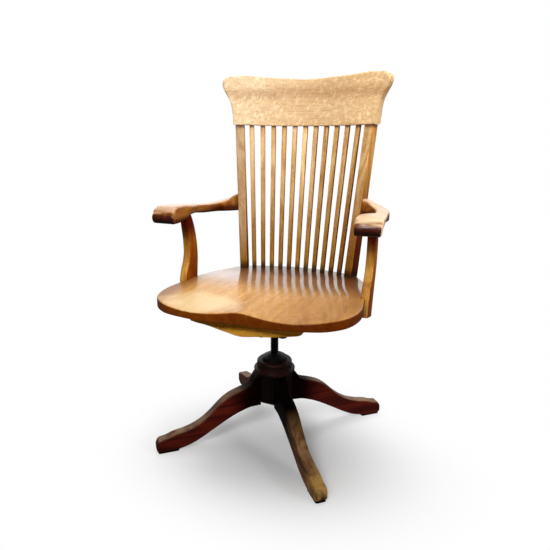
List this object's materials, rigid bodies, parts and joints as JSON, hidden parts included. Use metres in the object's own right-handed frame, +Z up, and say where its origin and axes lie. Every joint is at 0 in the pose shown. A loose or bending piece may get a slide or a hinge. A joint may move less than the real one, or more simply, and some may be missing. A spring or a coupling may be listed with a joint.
{
  "type": "swivel chair",
  "caption": "Oak swivel armchair with a saddle seat, a bowed back of fanned slats and a flared crest rail, on a sprung tilt iron and a screw-adjusted base with S-curved legs.",
  "frame": {"origin": "on the floor, under the centre of the chair's bounding box", "axes": "+Z up, the sitter faces -Y, +X to the right of someone who looks at the chair's front"},
  "size_m": [0.5942, 0.5863, 1.0014],
  "materials": {
    "seat_oak": "varnished golden oak, glossy, worn pale in the dish",
    "back_oak": "varnished golden oak with ray fleck, satin gloss",
    "arm_oak": "varnished brown oak, glossy hand rests",
    "leg_oak": "dark varnished oak, worn on top",
    "hub_oak": "nearly black varnished oak",
    "cast_iron": "black japanned cast iron",
    "steel": "dark oiled steel"
  },
  "bodies": {
    "base": {"hub_post": "hub_oak", "hub_cap": "hub_oak", "spindle_socket": "cast_iron", "hub_plate": "cast_iron", "leg_a": "leg_oak", "leg_b": "leg_oak", "leg_c": "leg_oak", "leg_d": "leg_oak", "foot_pad_a": "leg_oak", "foot_pad_b": "leg_oak", "foot_pad_c": "leg_oak", "foot_pad_d": "leg_oak"},
    "nut": {"adjusting_nut": "cast_iron"},
    "spindle": {"spindle": "steel"},
    "swivel_head": {"swivel_head": "cast_iron"},
    "knob": {"tension_knob": "cast_iron"},
    "spring_screw": {"spring_screw": "steel", "tilt_spring": "steel"},
    "seat": {"pivot_pin": "steel", "seat_iron": "cast_iron", "iron_bolt_front_left": "steel", "iron_bolt_front_right": "steel", "iron_bolt_rear_left": "steel", "iron_bolt_rear_right": "steel", "front_cleat": "leg_oak", "rear_cleat": "leg_oak", "seat": "seat_oak", "crest_rail": "back_oak", "slat_1": "back_oak", "slat_2": "back_oak", "slat_3": "back_oak", "slat_4": "back_oak", "slat_5": "back_oak", "slat_6": "back_oak", "slat_7": "back_oak", "slat_8": "back_oak", "slat_9": "back_oak", "slat_10": "back_oak", "slat_11": "back_oak", "left_stile": "back_oak", "left_arm": "arm_oak", "left_arm_post": "arm_oak", "left_arm_screw": "steel", "left_post_screw_front": "steel", "left_post_screw_rear": "steel", "left_arm_plug": "back_oak", "left_post_plug_front": "arm_oak", "left_post_plug_rear": "arm_oak", "right_stile": "back_oak", "right_arm": "arm_oak", "right_arm_post": "arm_oak", "right_arm_screw": "steel", "right_post_screw_front": "steel", "right_post_screw_rear": "steel", "right_arm_plug": "back_oak", "right_post_plug_front": "arm_oak", "right_post_plug_rear": "arm_oak"}
  },
  "joints": [
    {"name": "spindle_rise", "type": "slide", "parent": "base", "child": "spindle", "axis": [0, 0, 1], "range_m": [-0.019, 0.0698]},
    {"name": "nut_turn", "type": "hinge", "parent": "base", "child": "nut", "pos_m": [0, -0.01905, 0.236], "axis": [0, 0, -1], "range_deg": [-1080, 3960]},
    {"name": "seat_swivel", "type": "hinge", "parent": "spindle", "child": "swivel_head", "pos_m": [0, -0.01905, 0.31], "axis": [0, 0, 1], "continuous": true},
    {"name": "seat_tilt", "type": "hinge", "parent": "swivel_head", "child": "seat", "pos_m": [0, -0.02905, 0.3465], "axis": [-1, 0, 0], "range_deg": [0, 12], "stiffness_Nm_per_rad": 80, "springref_deg": -20.05, "deforming": ["tilt_spring"]},
    {"name": "screw_rise", "type": "slide", "parent": "swivel_head", "child": "spring_screw", "axis": [0, 0, 1], "range_m": [-0.004, 0.004]},
    {"name": "knob_turn", "type": "hinge", "parent": "swivel_head", "child": "knob", "pos_m": [0, 0.05295, 0.287], "axis": [0, 0, -1], "range_deg": [-721, 721]}
  ],
  "couplings": [
    {"joint": "nut_turn", "follows": "spindle_rise", "rad_per_m": 989.49},
    {"joint": "knob_turn", "follows": "screw_rise", "rad_per_m": 3141.6}
  ]
}
